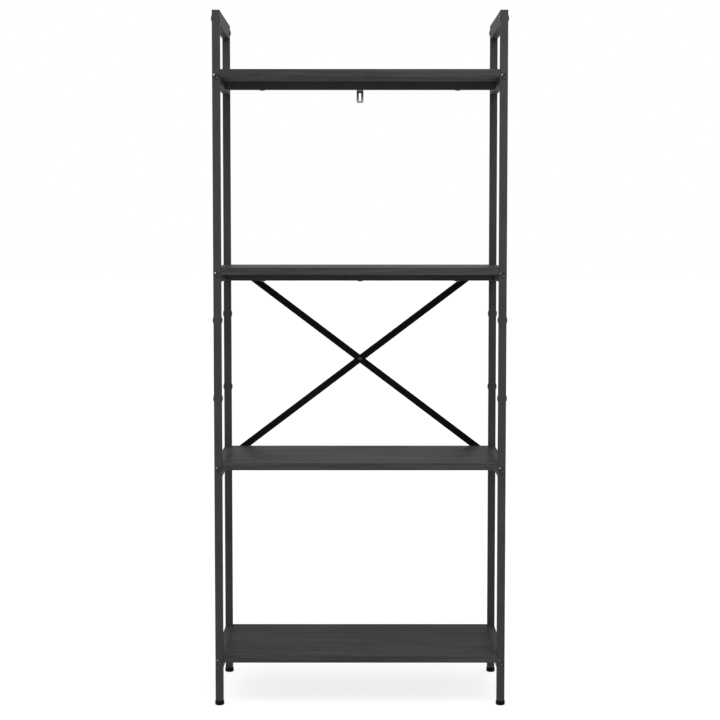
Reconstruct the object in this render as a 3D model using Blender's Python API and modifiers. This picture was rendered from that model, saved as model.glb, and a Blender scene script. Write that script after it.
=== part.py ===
"""Four-tier open bookcase: a bolted square-tube frame, thin shelf boards and a back cross brace.

Metres, +Z up.  The shelves open towards -Y, the cross brace is at the back (+Y), and the
feet stand on z = 0.  Left is -X and right is +X, as seen from the front.
"""
from math import atan2, cos, hypot, pi, sin

import bmesh
import bpy
from mathutils import Matrix

# Overall size of the frame
WIDTH = 0.600
DEPTH = 0.286
HEIGHT = 1.430
GAP = 0.0003

# Square posts, each in two halves on an inner splice tube
POST_SIDE = 0.016
TUBE_WALL = 0.0012
TUBE_CORNER = 0.0015
POST_SPLIT_HEIGHT = 0.720
SPLICE_LENGTH = 0.200
SPLICE_WALL = 0.0015
SPLICE_BOLT_HEIGHTS = {"lower": 0.640, "upper": 0.801}
TOP_BOLT_HEIGHT = 1.4135
INNER_FIT = 0.0004

# Side rails between the front and back posts
RAIL_HEIGHT = 0.030
RAIL_END_PLATE = 0.003
TONGUE_HEIGHT = 0.0264
TONGUE_REACH = 0.014

# Shelves, numbered from the top
SHELF_COUNT = 4
LOWEST_SHELF_TOP = 0.105
SHELF_PITCH = 0.402
SHELF_THICKNESS = 0.015
SHELF_EDGE = 0.0006
BEAM_SIDE = 0.016
BEAM_SCREW_SPACING = 0.206

# Cross brace behind the second and third shelves
BRACE_WIDTH = 0.015
BRACE_THICKNESS = 0.0018
BRACE_END_X = 0.2655
BRACE_STEP_START = 0.060
BRACE_STEP_END = 0.015

# Wall bracket on the back edge of the top shelf
BRACKET_WIDTH = 0.015
BRACKET_THICKNESS = 0.002
BRACKET_BOTTOM = 1.2625
BRACKET_TOP = 1.3095
BRACKET_CORNER = 0.003
BRACKET_SLOT_WIDTH = 0.0048
BRACKET_SLOT_LENGTH = 0.0176
BRACKET_SLOT_HEIGHT = 1.2755

# Fasteners: radii, head heights and lengths
BOLT_RADIUS = 0.003
BOLT_HEAD_RADIUS = 0.0063
BOLT_HEAD_HEIGHT = 0.0023
BOLT_REACH = 0.008
BEAM_SCREW_RADIUS = 0.002
BEAM_SCREW_HEAD_RADIUS = 0.006
BEAM_SCREW_HEAD_HEIGHT = 0.002
BEAM_SCREW_REACH = 0.010
EDGE_SCREW_RADIUS = 0.00175
EDGE_SCREW_HEAD_RADIUS = 0.0042
EDGE_SCREW_HEAD_HEIGHT = 0.0018
EDGE_SCREW_REACH = 0.020
RIVET_RADIUS = 0.0025
RIVET_HEAD_RADIUS = 0.0048
RIVET_HEAD_HEIGHT = 0.0014

# Levelling feet and the plugs that they screw into
FOOT_RADIUS = 0.0095
FOOT_HEIGHT = 0.009
FOOT_TOP_ROUNDING = 0.0008
FOOT_BOTTOM_ROUNDING = 0.002
FOOT_STEM_RADIUS = 0.004
FOOT_STEM_TOP = 0.037
FOOT_STEM_CHAMFER = 0.0006
INSERT_HEIGHT = 0.025

# Facets round one turn
BOLT_SIDES = 12
FOOT_SIDES = 20

# A round end stops just short of half the width, so that its two arcs never meet
ROUND_END_SHARE = 0.99

# Places worked out from the sizes above
POST_X = (WIDTH - POST_SIDE) / 2
POST_Y = (DEPTH - POST_SIDE) / 2
POST_BOTTOM = FOOT_HEIGHT + GAP
BORE_SIDE = POST_SIDE - 2 * TUBE_WALL
SPLICE_SIDE = BORE_SIDE - 2 * INNER_FIT
SPAN_X = WIDTH - 2 * POST_SIDE - 2 * GAP
SPAN_Y = DEPTH - 2 * POST_SIDE - 2 * GAP
BACK_PLANE = DEPTH / 2 + GAP
SHELF_TOPS = [LOWEST_SHELF_TOP + SHELF_PITCH * (SHELF_COUNT - 1 - n) for n in range(SHELF_COUNT)]
SHELF_MIDDLES = [top - SHELF_THICKNESS / 2 for top in SHELF_TOPS]
RAIL_MIDDLES = [top - RAIL_HEIGHT / 2 for top in SHELF_TOPS]
TOP_RAIL_MIDDLE = HEIGHT - RAIL_HEIGHT / 2
BRACE_MIDDLE = (SHELF_MIDDLES[1] + SHELF_MIDDLES[2]) / 2
BRACE_RISE = SHELF_MIDDLES[1] - BRACE_MIDDLE
BRACE_HALF_LENGTH = hypot(BRACE_END_X, BRACE_RISE)
BRACE_ANGLE = atan2(BRACE_RISE, BRACE_END_X)
BRACE_STEP = BRACE_THICKNESS + GAP
REACH_FORWARD = DEPTH / 2 + BOLT_HEAD_HEIGHT
REACH_BACK = BACK_PLANE + BRACE_STEP + BRACE_THICKNESS + GAP + RIVET_HEAD_HEIGHT

CORNERS = {
    "front_left": (-1, -1),
    "front_right": (1, -1),
    "back_left": (-1, 1),
    "back_right": (1, 1),
}
SIDES = {"left": -1, "right": 1}
ALONG_X = Matrix.Rotation(pi / 2, 4, "Y")
ALONG_Y = Matrix.Rotation(-pi / 2, 4, "X")
ALONG_Z = Matrix.Identity(4)


# ---------------------------------------------------------------- scene and materials

def clear_scene():
    for old in list(bpy.data.objects):
        bpy.data.objects.remove(old, do_unlink=True)


def new_collection(name):
    collection = bpy.data.collections.new(name)
    bpy.context.scene.collection.children.link(collection)
    return collection


def new_material(name, colour, roughness, metallic):
    material = bpy.data.materials.new(name)
    material.use_nodes = True
    shader = material.node_tree.nodes["Principled BSDF"]
    shader.inputs["Base Color"].default_value = (*colour, 1.0)
    shader.inputs["Roughness"].default_value = roughness
    shader.inputs["Metallic"].default_value = metallic
    return material


clear_scene()
PARTS = new_collection("bookcase")
CUTTERS = new_collection("bookcase_cutters")
FRAME_PAINT = new_material("frame_paint", (0.025, 0.025, 0.026), 0.55, 0.0)
SHELF_BOARD = new_material("shelf_board", (0.027, 0.027, 0.027), 0.70, 0.0)
BRACE_PAINT = new_material("brace_paint", (0.004, 0.004, 0.004), 0.45, 0.0)
BLACK_PLASTIC = new_material("black_plastic", (0.005, 0.005, 0.005), 0.55, 0.0)
BLACK_STEEL = new_material("black_steel", (0.006, 0.006, 0.006), 0.22, 0.0)
ZINC = new_material("zinc_plate", (0.420, 0.420, 0.430), 0.20, 1.0)

ROOT = bpy.data.objects.new("bookcase_origin", None)
PARTS.objects.link(ROOT)
# The brace stands further behind the frame than the bolt heads stand in front of it, so the
# frame sits a little forward and the whole box is centred on the origin.
ROOT.location.y = (REACH_FORWARD - REACH_BACK) / 2


# ---------------------------------------------------------------- building blocks

def add_box(mesh, size, centre=(0, 0, 0)):
    """A box in the given bmesh; returns its vertices."""
    place = Matrix.Translation(centre) @ Matrix.Diagonal((*size, 1))
    return bmesh.ops.create_cube(mesh, size=1, matrix=place)["verts"]


def round_edges(mesh, axis, radius, segments):
    """Round the edges that run along one axis (0, 1 or 2)."""
    across = [n for n in range(3) if n != axis]
    picked = []
    for edge in mesh.edges:
        run = edge.verts[1].co - edge.verts[0].co
        if all(abs(run[n]) < 1e-7 for n in across):
            picked.append(edge)
    bmesh.ops.bevel(mesh, geom=picked, offset=radius, segments=segments, profile=0.5, affect="EDGES")


def finished_mesh(name, mesh):
    data = bpy.data.meshes.new(name)
    mesh.to_mesh(data)
    mesh.free()
    return data


def place(name, data, collection, parent, location=(0, 0, 0), turn=ALONG_Z):
    thing = bpy.data.objects.new(name, data)
    collection.objects.link(thing)
    thing.parent = parent
    thing.location = location
    thing.rotation_euler = turn.to_euler()
    return thing


def add_part(name, data, material, location=(0, 0, 0), turn=ALONG_Z):
    """One sub-part of the bookcase, in its own material."""
    thing = place(name, data, PARTS, ROOT, location, turn)
    if not data.materials:
        data.materials.append(material)
    return thing


def add_tool(owner, name, data, location=(0, 0, 0), turn=ALONG_Z):
    """A hidden shape that is cut from, or joined to, its owner."""
    tool = place(owner.name + "_" + name, data, CUTTERS, owner, location, turn)
    tool.hide_render = True
    tool.display_type = "WIRE"
    return tool


def apply_tool(owner, tool, operation):
    step = owner.modifiers.new(tool.name, "BOOLEAN")
    step.operation = operation
    step.solver = "EXACT"
    step.object = tool


def cut(owner, name, data, location=(0, 0, 0), turn=ALONG_Z):
    apply_tool(owner, add_tool(owner, name, data, location, turn), "DIFFERENCE")


def spin(thing, sides):
    """Turn an object's profile about its own z axis into a closed solid."""
    turned = thing.modifiers.new("turned", "SCREW")
    turned.axis = "Z"
    turned.angle = 2 * pi
    turned.steps = sides
    turned.render_steps = sides
    turned.use_merge_vertices = True
    turned.merge_threshold = 0.00001


def profile_mesh(name, points):
    """A profile in the xz plane, as edges between (radius, height) points."""
    data = bpy.data.meshes.new(name)
    vertices = [(radius, 0.0, height) for radius, height in points]
    edges = [(n, n + 1) for n in range(len(points) - 1)]
    data.from_pydata(vertices, edges, [])
    return data


def box_mesh(name, size):
    mesh = bmesh.new()
    add_box(mesh, size)
    return finished_mesh(name, mesh)


def rounded_bar_mesh(name, size, axis, radius, segments):
    """A box whose edges along one axis are rounded."""
    mesh = bmesh.new()
    add_box(mesh, size)
    round_edges(mesh, axis, radius, segments)
    return finished_mesh(name, mesh)


def rod_mesh(name, radius, length):
    mesh = bmesh.new()
    bmesh.ops.create_cone(
        mesh, cap_ends=True, segments=BOLT_SIDES, radius1=radius, radius2=radius, depth=length)
    return finished_mesh(name, mesh)


def dome(radius, base, height):
    """Points of a low dome above a base height, from its crown down to its rim."""
    steps = 3
    angles = [pi / 2 * n / steps for n in range(steps + 1)]
    return [(radius * sin(angle), base + height * cos(angle)) for angle in angles]


def flipped(points):
    """The same outline on the other side of z = 0, still running top to bottom."""
    return [(radius, -height) for radius, height in reversed(points)]


# ---------------------------------------------------------------- fastener outlines

def headed_outline(head_radius, head_height, head_base, shank_radius, tip):
    """A domed head on top of a shank that runs down to its flat tip."""
    points = dome(head_radius, head_base, head_height)
    return points + [(shank_radius, head_base), (shank_radius, tip), (0.0, tip)]


def through_outline(head_radius, head_height, shank_radius, half_length):
    """A shank with a domed head at each end."""
    upper = dome(head_radius, half_length, head_height) + [(shank_radius, half_length)]
    return upper + flipped(upper)


def countersunk_outline(oversize):
    """A screw head just below z = 0 that narrows through the bracket plate, then its shank."""
    shank = EDGE_SCREW_RADIUS + oversize
    head = EDGE_SCREW_HEAD_RADIUS + oversize
    crown = oversize - GAP / 3
    tip = -BRACKET_THICKNESS - GAP - EDGE_SCREW_REACH - oversize
    points = [(0.0, crown), (head, crown), (head, -GAP), (shank, -BRACKET_THICKNESS)]
    return points + [(shank, tip), (0.0, tip)]


# The rail bolts and beam screws start inside the wall that carries them, so the two join.
RAIL_BOLT = profile_mesh("rail_bolt", headed_outline(
    BOLT_HEAD_RADIUS, BOLT_HEAD_HEIGHT + GAP, POST_SIDE / 2 - GAP,
    BOLT_RADIUS, -POST_SIDE / 2 - BOLT_REACH))
BEAM_SCREW = profile_mesh("beam_screw", headed_outline(
    BEAM_SCREW_HEAD_RADIUS, BEAM_SCREW_HEAD_HEIGHT + GAP, BEAM_SIDE / 2 - GAP,
    BEAM_SCREW_RADIUS, -BEAM_SIDE / 2 - BEAM_SCREW_REACH))
THROUGH_BOLT = profile_mesh("through_bolt", through_outline(
    BOLT_HEAD_RADIUS, BOLT_HEAD_HEIGHT - GAP, BOLT_RADIUS, POST_SIDE / 2 + GAP))
BOLT_HOLE = rod_mesh("bolt_hole", BOLT_RADIUS + GAP, 2 * POST_SIDE)


# ---------------------------------------------------------------- posts

def post_half_mesh(name, bottom, top):
    mesh = bmesh.new()
    add_box(mesh, (POST_SIDE, POST_SIDE, top - bottom), (0, 0, (top + bottom) / 2))
    round_edges(mesh, 2, TUBE_CORNER, segments=3)
    return finished_mesh(name, mesh)


def post_bore_mesh(name, bottom, top):
    mesh = bmesh.new()
    add_box(mesh, (BORE_SIDE, BORE_SIDE, top - bottom), (0, 0, (top + bottom) / 2))
    return finished_mesh(name, mesh)


def join_rail_bolts(post, heights):
    """Bolts from the post's outer face, through the tube and into the rail behind it."""
    for height in heights:
        tool = add_tool(post, "rail_bolt", RAIL_BOLT, (0, 0, height), Matrix.Rotation(pi / 2, 4, "X"))
        spin(tool, BOLT_SIDES)
        apply_tool(post, tool, "UNION")


def build_posts():
    lower = post_half_mesh("post_lower", POST_BOTTOM, POST_SPLIT_HEIGHT - GAP / 2)
    upper = post_half_mesh("post_upper", POST_SPLIT_HEIGHT + GAP / 2, HEIGHT)
    lower_bore = post_bore_mesh("post_lower_bore", 0.0, POST_SPLIT_HEIGHT + POST_SIDE)
    upper_bore = post_bore_mesh("post_upper_bore", POST_SPLIT_HEIGHT - POST_SIDE, HEIGHT - TUBE_WALL)
    window = box_mesh("tongue_window", (SPLICE_SIDE + 2 * GAP, POST_SIDE / 2, TONGUE_HEIGHT + 2 * GAP))
    for corner, (side, depth) in CORNERS.items():
        spot = (side * POST_X, depth * POST_Y, 0)
        turn = ALONG_Z if depth < 0 else Matrix.Rotation(pi, 4, "Z")
        post = add_part("post_" + corner + "_lower", lower, FRAME_PAINT, spot, turn)
        cut(post, "bore", lower_bore)
        cut(post, "splice_hole", BOLT_HOLE, (0, 0, SPLICE_BOLT_HEIGHTS["lower"]), ALONG_X)
        join_rail_bolts(post, RAIL_MIDDLES[2:])
        post = add_part("post_" + corner + "_upper", upper, FRAME_PAINT, spot, turn)
        cut(post, "bore", upper_bore)
        cut(post, "window", window, (0, POST_SIDE / 2, TOP_RAIL_MIDDLE))
        cut(post, "splice_hole", BOLT_HOLE, (0, 0, SPLICE_BOLT_HEIGHTS["upper"]), ALONG_X)
        cut(post, "top_hole", BOLT_HOLE, (0, 0, TOP_BOLT_HEIGHT), ALONG_X)
        join_rail_bolts(post, RAIL_MIDDLES[:2])


def build_splices():
    """Inner tubes that join the post halves, and the bolts that pass through both."""
    outer = box_mesh("splice", (SPLICE_SIDE, SPLICE_SIDE, SPLICE_LENGTH))
    inner_side = SPLICE_SIDE - 2 * SPLICE_WALL
    bore = box_mesh("splice_bore", (inner_side, inner_side, SPLICE_LENGTH + POST_SIDE))
    for corner, (side, depth) in CORNERS.items():
        x, y = side * POST_X, depth * POST_Y
        splice = add_part("post_splice_" + corner, outer, ZINC, (x, y, POST_SPLIT_HEIGHT))
        cut(splice, "bore", bore)
        for level, height in SPLICE_BOLT_HEIGHTS.items():
            cut(splice, "hole_" + level, BOLT_HOLE, (0, 0, height - POST_SPLIT_HEIGHT), ALONG_X)
            bolt = add_part(
                "splice_bolt_" + corner + "_" + level, THROUGH_BOLT, BLACK_STEEL, (x, y, height), ALONG_X)
            spin(bolt, BOLT_SIDES)
        bolt = add_part("top_bolt_" + corner, THROUGH_BOLT, BLACK_STEEL, (x, y, TOP_BOLT_HEIGHT), ALONG_X)
        spin(bolt, BOLT_SIDES)


# ---------------------------------------------------------------- side rails

def build_side_rails():
    """Rectangular tubes with an end plate for each post bolt, their tops level with the shelves."""
    outer = rounded_bar_mesh("side_rail", (POST_SIDE, SPAN_Y, RAIL_HEIGHT), 1, TUBE_CORNER, segments=3)
    hollow = box_mesh(
        "rail_hollow", (BORE_SIDE, SPAN_Y - 2 * RAIL_END_PLATE, RAIL_HEIGHT - 2 * TUBE_WALL))
    end_holes = rod_mesh("rail_end_holes", BOLT_RADIUS + GAP, DEPTH)
    for side, sign in SIDES.items():
        for number, middle in enumerate(RAIL_MIDDLES, start=1):
            rail = add_part(
                "side_rail_{}_{}".format(side, number), outer, FRAME_PAINT, (sign * POST_X, 0, middle))
            cut(rail, "hollow", hollow)
            cut(rail, "end_holes", end_holes, (0, 0, 0), ALONG_Y)


def build_top_rails():
    """Rails at the post tops, whose tongues enter the posts and take the top bolts."""
    outer = rounded_bar_mesh("top_rail", (POST_SIDE, SPAN_Y, RAIL_HEIGHT), 1, TUBE_CORNER, segments=3)
    tongue_length = DEPTH - 2 * POST_SIDE + 2 * TONGUE_REACH
    tongue = box_mesh("top_rail_tongue", (SPLICE_SIDE, tongue_length, TONGUE_HEIGHT))
    bore = box_mesh(
        "top_rail_bore",
        (SPLICE_SIDE - 2 * SPLICE_WALL, tongue_length + POST_SIDE, TONGUE_HEIGHT - 2 * SPLICE_WALL))
    for side, sign in SIDES.items():
        rail = add_part("top_rail_" + side, outer, FRAME_PAINT, (sign * POST_X, 0, TOP_RAIL_MIDDLE))
        apply_tool(rail, add_tool(rail, "tongue", tongue), "UNION")
        cut(rail, "bore", bore)
        for end in (-1, 1):
            hole = (0, end * POST_Y, TOP_BOLT_HEIGHT - TOP_RAIL_MIDDLE)
            cut(rail, "hole", BOLT_HOLE, hole, ALONG_X)


# ---------------------------------------------------------------- shelves and their beams

def beam_screw_places():
    return [n * BEAM_SCREW_SPACING for n in (-1, 0, 1)]


def build_shelves():
    board = rounded_bar_mesh("shelf_board", (SPAN_X, DEPTH, SHELF_THICKNESS), 0, SHELF_EDGE, segments=1)
    screw_hole = rod_mesh("beam_screw_hole", BEAM_SCREW_RADIUS + GAP, 2 * BEAM_SCREW_REACH)
    edge_hole = rod_mesh("edge_screw_hole", EDGE_SCREW_RADIUS + GAP, 2 * (EDGE_SCREW_REACH + GAP))
    edge_places = [[0.0], [-BRACE_END_X, BRACE_END_X], [-BRACE_END_X, BRACE_END_X], []]
    for number, middle in enumerate(SHELF_MIDDLES, start=1):
        shelf = add_part("shelf_{}".format(number), board, SHELF_BOARD, (0, 0, middle))
        for x in beam_screw_places():
            cut(shelf, "screw_hole", screw_hole, (x, 0, -SHELF_THICKNESS / 2))
        for x in edge_places[number - 1]:
            cut(shelf, "edge_hole", edge_hole, (x, DEPTH / 2, 0), ALONG_Y)


def build_beams():
    """A square tube under the middle of each shelf, with the screws that hold the board."""
    outer = rounded_bar_mesh("shelf_beam", (SPAN_X, BEAM_SIDE, BEAM_SIDE), 0, TUBE_CORNER, segments=2)
    bore_side = BEAM_SIDE - 2 * TUBE_WALL
    bore = box_mesh("beam_bore", (WIDTH, bore_side, bore_side))
    for number, top in enumerate(SHELF_TOPS, start=1):
        middle = top - SHELF_THICKNESS - GAP - BEAM_SIDE / 2
        beam = add_part("shelf_beam_{}".format(number), outer, FRAME_PAINT, (0, 0, middle))
        cut(beam, "bore", bore)
        for x in beam_screw_places():
            tool = add_tool(beam, "screw", BEAM_SCREW, (x, 0, 0), Matrix.Rotation(pi, 4, "X"))
            spin(tool, BOLT_SIDES)
            apply_tool(beam, tool, "UNION")


# ---------------------------------------------------------------- cross brace

def step_behind(distance):
    """How far the rear bar has bent backwards, at a distance from the crossing."""
    if distance >= BRACE_STEP_START:
        return 0.0
    if distance <= BRACE_STEP_END:
        return BRACE_STEP
    part = (BRACE_STEP_START - distance) / (BRACE_STEP_START - BRACE_STEP_END)
    return BRACE_STEP * part * part * (3 - 2 * part)


def brace_mesh(name, stepped):
    """A flat bar along x with round ends; the stepped one bends back over the crossing."""
    end_rounding = BRACE_WIDTH / 2 * ROUND_END_SHARE
    mesh = bmesh.new()
    add_box(mesh, (2 * BRACE_HALF_LENGTH + BRACE_WIDTH, BRACE_THICKNESS, BRACE_WIDTH))
    round_edges(mesh, 1, end_rounding, segments=5)
    if stepped:
        stations = 5
        run = BRACE_STEP_START - BRACE_STEP_END
        for n in range(stations):
            for sign in (-1, 1):
                x = sign * (BRACE_STEP_END + run * n / (stations - 1))
                everything = mesh.verts[:] + mesh.edges[:] + mesh.faces[:]
                bmesh.ops.bisect_plane(mesh, geom=everything, plane_co=(x, 0, 0), plane_no=(1, 0, 0))
        for vertex in mesh.verts:
            vertex.co.y += step_behind(abs(vertex.co.x))
    return finished_mesh(name, mesh)


def build_brace():
    end_hole = rod_mesh("brace_end_hole", EDGE_SCREW_RADIUS + GAP, 2 * BRACE_WIDTH)
    middle_hole = rod_mesh("brace_middle_hole", RIVET_RADIUS + GAP, 2 * BRACE_WIDTH)
    flat_y = BACK_PLANE + BRACE_THICKNESS / 2
    bars = {
        "falling": (brace_mesh("brace_flat", stepped=False), 1),
        "rising": (brace_mesh("brace_stepped", stepped=True), -1),
    }
    for slant, (data, sign) in bars.items():
        turn = Matrix.Rotation(sign * BRACE_ANGLE, 4, "Y")
        bar = add_part("brace_bar_" + slant, data, BRACE_PAINT, (0, flat_y, BRACE_MIDDLE), turn)
        cut(bar, "middle_hole", middle_hole, (0, 0, 0), ALONG_Y)
        for end in (-1, 1):
            cut(bar, "end_hole", end_hole, (end * BRACE_HALF_LENGTH, 0, 0), ALONG_Y)

    half_grip = (BRACE_STEP + BRACE_THICKNESS) / 2 + GAP
    outline = through_outline(RIVET_HEAD_RADIUS, RIVET_HEAD_HEIGHT, RIVET_RADIUS, half_grip)
    rivet_spot = (0, BACK_PLANE + half_grip - GAP, BRACE_MIDDLE)
    rivet = add_part("brace_rivet", profile_mesh("brace_rivet", outline), BLACK_STEEL, rivet_spot, ALONG_Y)
    spin(rivet, BOLT_SIDES)

    screw_data = profile_mesh("brace_screw", headed_outline(
        EDGE_SCREW_HEAD_RADIUS, EDGE_SCREW_HEAD_HEIGHT, GAP,
        EDGE_SCREW_RADIUS, -BRACE_THICKNESS - GAP - EDGE_SCREW_REACH))
    for level, middle in (("upper", SHELF_MIDDLES[1]), ("lower", SHELF_MIDDLES[2])):
        for side, sign in SIDES.items():
            spot = (sign * BRACE_END_X, BACK_PLANE + BRACE_THICKNESS, middle)
            screw = add_part("brace_screw_{}_{}".format(level, side), screw_data, BLACK_STEEL, spot, ALONG_Y)
            spin(screw, BOLT_SIDES)


# ---------------------------------------------------------------- wall bracket

def build_wall_bracket():
    """A slotted plate that hangs below the top shelf's back edge, with its flush screw."""
    height = BRACKET_TOP - BRACKET_BOTTOM
    middle = (BRACKET_TOP + BRACKET_BOTTOM) / 2
    plate = rounded_bar_mesh(
        "wall_bracket", (BRACKET_WIDTH, BRACKET_THICKNESS, height), 1, BRACKET_CORNER, segments=3)
    slot = rounded_bar_mesh(
        "bracket_slot", (BRACKET_SLOT_WIDTH, 3 * BRACKET_THICKNESS, BRACKET_SLOT_LENGTH),
        1, BRACKET_SLOT_WIDTH / 2 * ROUND_END_SHARE, segments=4)
    back_face = BACK_PLANE + BRACKET_THICKNESS
    bracket = add_part("wall_bracket", plate, ZINC, (0, BACK_PLANE + BRACKET_THICKNESS / 2, middle))
    cut(bracket, "slot", slot, (0, 0, BRACKET_SLOT_HEIGHT - middle))
    sink = profile_mesh("bracket_sink", countersunk_outline(GAP))
    sink_spot = (0, BRACKET_THICKNESS / 2, SHELF_MIDDLES[0] - middle)
    tool = add_tool(bracket, "screw_sink", sink, sink_spot, ALONG_Y)
    spin(tool, BOLT_SIDES)
    apply_tool(bracket, tool, "DIFFERENCE")
    screw_data = profile_mesh("wall_bracket_screw", countersunk_outline(0.0))
    spot = (0, back_face, SHELF_MIDDLES[0])
    screw = add_part("wall_bracket_screw", screw_data, BLACK_STEEL, spot, ALONG_Y)
    spin(screw, BOLT_SIDES)


# ---------------------------------------------------------------- levelling feet

def quarter_round(radius, height, start, steps):
    """A quarter circle that ends a corner at (radius, height); start is its first angle."""
    angles = [start - pi / 2 * n / steps for n in range(steps + 1)]
    return [(radius * cos(angle), height + radius * sin(angle)) for angle in angles]


def foot_outline():
    """A threaded stem above a round pad with softened edges, from the top down."""
    stem = [(0.0, FOOT_STEM_TOP), (FOOT_STEM_RADIUS - FOOT_STEM_CHAMFER, FOOT_STEM_TOP)]
    stem += [(FOOT_STEM_RADIUS, FOOT_STEM_TOP - FOOT_STEM_CHAMFER), (FOOT_STEM_RADIUS, FOOT_HEIGHT)]
    pad = []
    for radius, height, start, steps in (
            (FOOT_TOP_ROUNDING, FOOT_HEIGHT - FOOT_TOP_ROUNDING, pi / 2, 2),
            (FOOT_BOTTOM_ROUNDING, FOOT_BOTTOM_ROUNDING, 0.0, 3)):
        for out, up in quarter_round(radius, height, start, steps):
            pad.append((FOOT_RADIUS - radius + out, up))
    return stem + pad + [(0.0, 0.0)]


def build_feet():
    foot_data = profile_mesh("foot", foot_outline())
    insert_data = box_mesh("foot_insert", (SPLICE_SIDE, SPLICE_SIDE, INSERT_HEIGHT))
    thread = rod_mesh("foot_thread", FOOT_STEM_RADIUS + GAP, 2 * INSERT_HEIGHT)
    for corner, (side, depth) in CORNERS.items():
        x, y = side * POST_X, depth * POST_Y
        foot = add_part("foot_" + corner, foot_data, BLACK_PLASTIC, (x, y, 0))
        spin(foot, FOOT_SIDES)
        middle = POST_BOTTOM + INSERT_HEIGHT / 2
        insert = add_part("foot_insert_" + corner, insert_data, BLACK_PLASTIC, (x, y, middle))
        cut(insert, "thread", thread)


build_posts()
build_splices()
build_side_rails()
build_top_rails()
build_shelves()
build_beams()
build_brace()
build_wall_bracket()
build_feet()
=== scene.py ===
"""Looks of a four-tier open bookcase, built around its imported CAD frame.

Metres, +Z up.  The shelves open towards -Y and the cross brace is at the back (+Y).  Each
piece's mesh is made where it stands, so its object coordinates are also the frame's.
"""

from math import acos, atan2, cos, hypot, pi, radians, sin, sqrt, tan

import bmesh
import bpy
from mathutils import Matrix, Vector


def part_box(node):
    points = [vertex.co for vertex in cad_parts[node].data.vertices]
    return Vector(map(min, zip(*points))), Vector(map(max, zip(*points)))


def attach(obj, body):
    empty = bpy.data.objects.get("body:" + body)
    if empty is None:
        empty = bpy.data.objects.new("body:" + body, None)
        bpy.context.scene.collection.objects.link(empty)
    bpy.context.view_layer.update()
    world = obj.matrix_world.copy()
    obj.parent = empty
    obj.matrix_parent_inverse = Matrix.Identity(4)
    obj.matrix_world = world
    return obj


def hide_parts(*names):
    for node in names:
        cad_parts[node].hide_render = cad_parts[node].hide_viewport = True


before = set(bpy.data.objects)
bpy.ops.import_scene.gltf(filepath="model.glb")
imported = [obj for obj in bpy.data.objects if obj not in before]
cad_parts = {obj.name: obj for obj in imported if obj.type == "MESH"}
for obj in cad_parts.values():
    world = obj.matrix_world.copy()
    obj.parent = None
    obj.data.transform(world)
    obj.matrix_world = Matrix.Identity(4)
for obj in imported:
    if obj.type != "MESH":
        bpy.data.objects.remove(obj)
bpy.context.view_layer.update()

# Sizes that the frame's boxes don't give on their own.  GAP is the space that the CAD keeps
# between solids, and CLAMPED is how far a tube is moved to all but close such a gap.
POST_SIDE = 0.016
GAP = 0.0003
CLAMPED = 0.00027
TUBE_WALL = 0.0012
TUBE_CORNER = 0.0015
BORE_CORNER = 0.0005
LIP = 0.00025
SEAM_LIP = 0.00006
TONGUE_SIDE = 0.0128
TONGUE_HEIGHT = 0.0264
RAIL_HALF_HEIGHT = 0.015
TOP_EASING = 0.0006

# Shelf boards: a laminated core on a backing sheet, with an edge band in front and behind.
# The shades multiply the laminate's tones.  The backing's shade is higher than the faces', which
# paints light on to the undersides: they are lit only from below, and this makes them look brighter.
BAND_THICKNESS = 0.0008
BAND_JOINT = 0.00004
BOARD_EASING = 0.0002
BACKING_THICKNESS = 0.0006
BACKING_EASING = 0.00015
FACE_SHADE = 1.15
BACKING_PAINTED_LIGHT = 1.85

# Fasteners
BOLT_HEAD_RADIUS = 0.0063
BOLT_HEAD_HEIGHT = 0.0023
BOLT_SHANK_RADIUS = 0.003
BOLT_REACH = 0.008
SHANK_CHAMFER_SHARE = 0.25
HEX_FLAT_TO_CENTRE = 0.002
RAIL_BOLT_RECESS = 0.0013
THROUGH_BOLT_RECESS = 0.0011
HEAD_RIM = 0.0002
DOME_STEPS = 12
RECESS_MOUTH_SHARE = 1.12
RECESS_FLOOR_SHARE = 0.86
RECESS_CHAMFER = 0.0003
BEAM_SCREW_HEAD_RADIUS = 0.006
BEAM_SCREW_HEAD_HEIGHT = 0.002
BEAM_SCREW_SHANK_RADIUS = 0.002
BEAM_SCREW_REACH = 0.010
BEAM_SCREW_SPACING = 0.206
CROSS_ARM = 0.0018
CROSS_HALF_WIDTH = 0.00048
CROSS_RECESS = 0.0010
EDGE_SCREW_SHANK_RADIUS = 0.00175
EDGE_SCREW_HEAD_RADIUS = 0.0042
EDGE_SCREW_HEAD_HEIGHT = 0.0018
EDGE_SCREW_REACH = 0.020
RIVET_HEAD_RADIUS = 0.0048
RIVET_HEAD_HEIGHT = 0.0014
RIVET_RADIUS = 0.0025
RIVET_STEPS = 10

# Cross brace
BRACE_WIDTH = 0.015
BRACE_THICKNESS = 0.0018
BRACE_EASING = 0.0004
BRACE_STEP_START = 0.060
BRACE_STEP_END = 0.015
BRACE_BEND_STEPS = 12
BRACE_END_STEPS = 10
BRACE_END_EASING_SHARE = 0.6

# Wall bracket
BRACKET_CORNER = 0.003
BRACKET_EASING = 0.0003
BRACKET_SLOT_HEIGHT = 1.2755
BRACKET_SLOT_SPAN = (0.0048, 0.0176)
SLOT_END_SHARE = 0.98
SCREW_POINT_SHARE = 0.4
SCREW_POINT_LENGTH = 0.003
FLUSH_HEAD_EDGE = 0.0003
FLUSH_HEAD_EASING = 0.0001
FLUSH_RECESS_REACH_SHARE = 1.2
FLUSH_RECESS_FLOOR_SHARE = 0.8

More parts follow.
